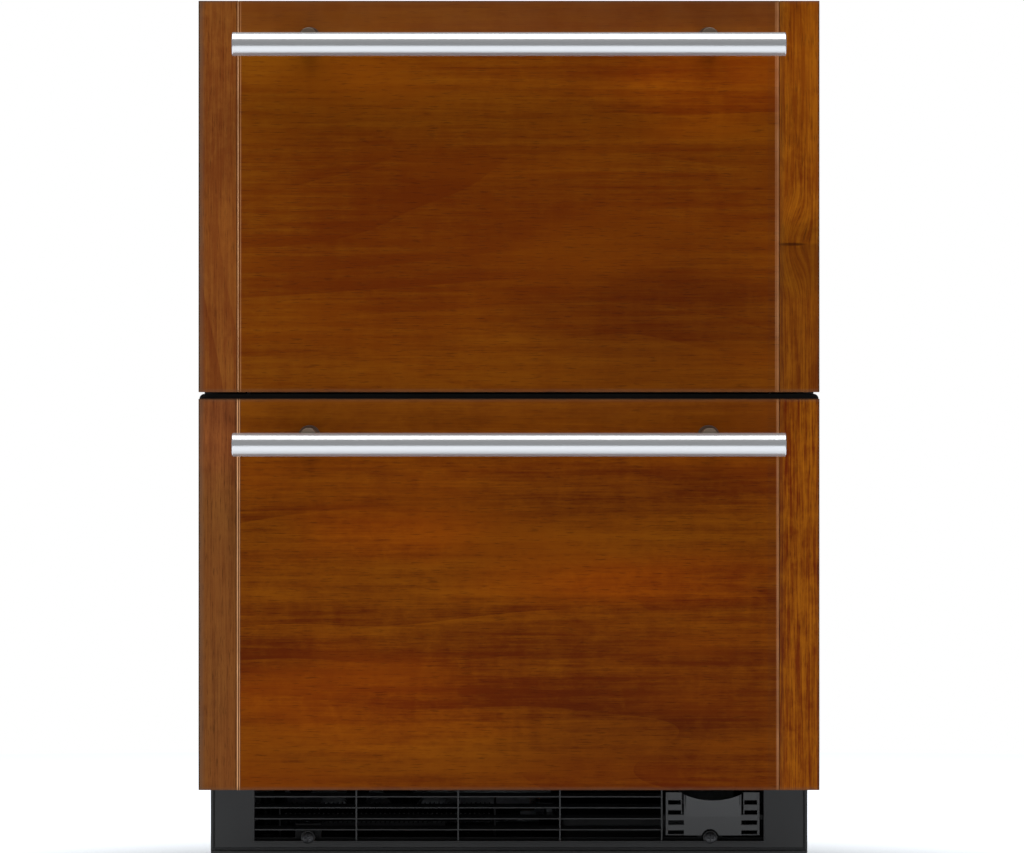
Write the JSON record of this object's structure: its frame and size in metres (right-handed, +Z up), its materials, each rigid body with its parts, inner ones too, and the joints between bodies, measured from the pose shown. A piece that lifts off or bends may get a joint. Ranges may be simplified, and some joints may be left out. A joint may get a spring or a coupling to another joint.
{
  "type": "undercounter drawer refrigerator",
  "caption": "Undercounter refrigerator with wood-fronted cold drawers on telescopic slides, steel bar pulls, a louvred black toe kick and levelling legs.",
  "frame": {"origin": "on the floor, under the middle of the overall width and depth", "axes": "+X to the right seen from the front, +Y to the back, +Z up"},
  "size_m": [0.603, 0.6736, 0.866],
  "materials": {
    "cherry_panel": "satin",
    "cherry_stile": "satin",
    "black_paint": "satin",
    "galvanised_steel": "matte",
    "kick_plastic": "satin",
    "cover_plastic": "satin",
    "core_plastic": "matte",
    "gasket_rubber": "matte",
    "handle_steel": "satin",
    "zinc_steel": "satin",
    "white_plastic": "satin",
    "insulation_foam": "matte",
    "bin_plastic": "satin",
    "copper_tube": "satin",
    "coil_aluminium": "satin",
    "compressor_paint": "gloss",
    "motor_metal": "matte",
    "fan_plastic": "satin",
    "foot_rubber": "matte",
    "screw_steel": "satin"
  },
  "bodies": {
    "cabinet": {"upper_slide_fixed_left": "zinc_steel", "upper_slide_fixed_right": "zinc_steel", "lower_slide_fixed_left": "zinc_steel", "lower_slide_fixed_right": "zinc_steel", "cabinet_shell": "black_paint", "front_mullion": "black_paint", "back_panel": "galvanised_steel", "base_pan": "black_paint", "condenser_coil": "black_paint", "cord_gland": "foot_rubber", "insulation_foam": "insulation_foam", "inner_liner": "white_plastic", "evaporator_cover": "white_plastic", "kick_grille": "kick_plastic", "control_housing": "kick_plastic", "grille_access_cover": "cover_plastic", "grille_screw_left": "screw_steel", "grille_screw_right": "screw_steel", "drain_pan": "fan_plastic", "evaporator_fan_motor": "motor_metal", "condenser_fan_motor": "motor_metal", "evaporator_coil": "coil_aluminium", "suction_line": "copper_tube", "discharge_line": "copper_tube", "compressor": "compressor_paint"},
    "upper_drawer": {"upper_front_panel": "cherry_panel", "upper_stile_left": "cherry_stile", "upper_stile_right": "cherry_stile", "upper_door_core": "core_plastic", "upper_gasket": "gasket_rubber", "upper_handle_bar": "handle_steel", "upper_handle_post_left": "handle_steel", "upper_handle_post_right": "handle_steel", "upper_bin": "bin_plastic", "upper_slide_inner_left": "zinc_steel", "upper_slide_inner_right": "zinc_steel"},
    "upper_slide_mid": {"upper_slide_mid_left": "zinc_steel", "upper_slide_mid_right": "zinc_steel"},
    "lower_drawer": {"lower_front_panel": "cherry_panel", "lower_stile_left": "cherry_stile", "lower_stile_right": "cherry_stile", "lower_door_core": "core_plastic", "lower_gasket": "gasket_rubber", "lower_handle_bar": "handle_steel", "lower_handle_post_left": "handle_steel", "lower_handle_post_right": "handle_steel", "lower_bin": "bin_plastic", "lower_slide_inner_left": "zinc_steel", "lower_slide_inner_right": "zinc_steel"},
    "lower_slide_mid": {"lower_slide_mid_left": "zinc_steel", "lower_slide_mid_right": "zinc_steel"},
    "evaporator_fan": {"evaporator_fan": "fan_plastic"},
    "condenser_fan": {"condenser_fan": "fan_plastic"},
    "leg_front_left": {"leg_front_left": "screw_steel"},
    "leg_front_right": {"leg_front_right": "screw_steel"},
    "leg_rear_left": {"leg_rear_left": "screw_steel"},
    "leg_rear_right": {"leg_rear_right": "screw_steel"},
    "colder_button": {"colder_button": "cover_plastic"},
    "warmer_button": {"warmer_button": "cover_plastic"},
    "bin_divider": {"bin_divider": "bin_plastic"}
  },
  "joints": [
    {"name": "upper_drawer_slide", "type": "slide", "parent": "cabinet", "child": "upper_drawer", "axis": [0, -1, 0], "range_m": [0, 0.4]},
    {"name": "upper_slide_mid_travel", "type": "slide", "parent": "cabinet", "child": "upper_slide_mid", "axis": [0, -1, 0], "range_m": [0, 0.2]},
    {"name": "lower_drawer_slide", "type": "slide", "parent": "cabinet", "child": "lower_drawer", "axis": [0, -1, 0], "range_m": [0, 0.4]},
    {"name": "lower_slide_mid_travel", "type": "slide", "parent": "cabinet", "child": "lower_slide_mid", "axis": [0, -1, 0], "range_m": [0, 0.2]},
    {"name": "bin_divider_slide", "type": "slide", "parent": "upper_drawer", "child": "bin_divider", "axis": [1, 0, 0], "range_m": [-0.15, 0.15]},
    {"name": "evaporator_fan_spin", "type": "hinge", "parent": "cabinet", "child": "evaporator_fan", "pos_m": [0, 0.24075, 0.756], "axis": [0, 1, 0], "continuous": true},
    {"name": "condenser_fan_spin", "type": "hinge", "parent": "cabinet", "child": "condenser_fan", "pos_m": [-0.13, 0.16975, 0.1005], "axis": [0, 1, 0], "continuous": true},
    {"name": "leg_front_left_height", "type": "slide", "parent": "cabinet", "child": "leg_front_left", "axis": [0, 0, -1], "range_m": [0, 0.02]},
    {"name": "leg_front_right_height", "type": "slide", "parent": "cabinet", "child": "leg_front_right", "axis": [0, 0, -1], "range_m": [0, 0.02]},
    {"name": "leg_rear_left_height", "type": "slide", "parent": "cabinet", "child": "leg_rear_left", "axis": [0, 0, -1], "range_m": [0, 0.02]},
    {"name": "leg_rear_right_height", "type": "slide", "parent": "cabinet", "child": "leg_rear_right", "axis": [0, 0, -1], "range_m": [0, 0.02]},
    {"name": "colder_press", "type": "slide", "parent": "cabinet", "child": "colder_button", "axis": [0, 1, 0], "range_m": [0, 0.0015], "stiffness_N_per_m": 500},
    {"name": "warmer_press", "type": "slide", "parent": "cabinet", "child": "warmer_button", "axis": [0, 1, 0], "range_m": [0, 0.0015], "stiffness_N_per_m": 500}
  ],
  "couplings": [
    {"joint": "upper_slide_mid_travel", "follows": "upper_drawer_slide", "ratio": 0.5},
    {"joint": "lower_slide_mid_travel", "follows": "lower_drawer_slide", "ratio": 0.5}
  ]
}
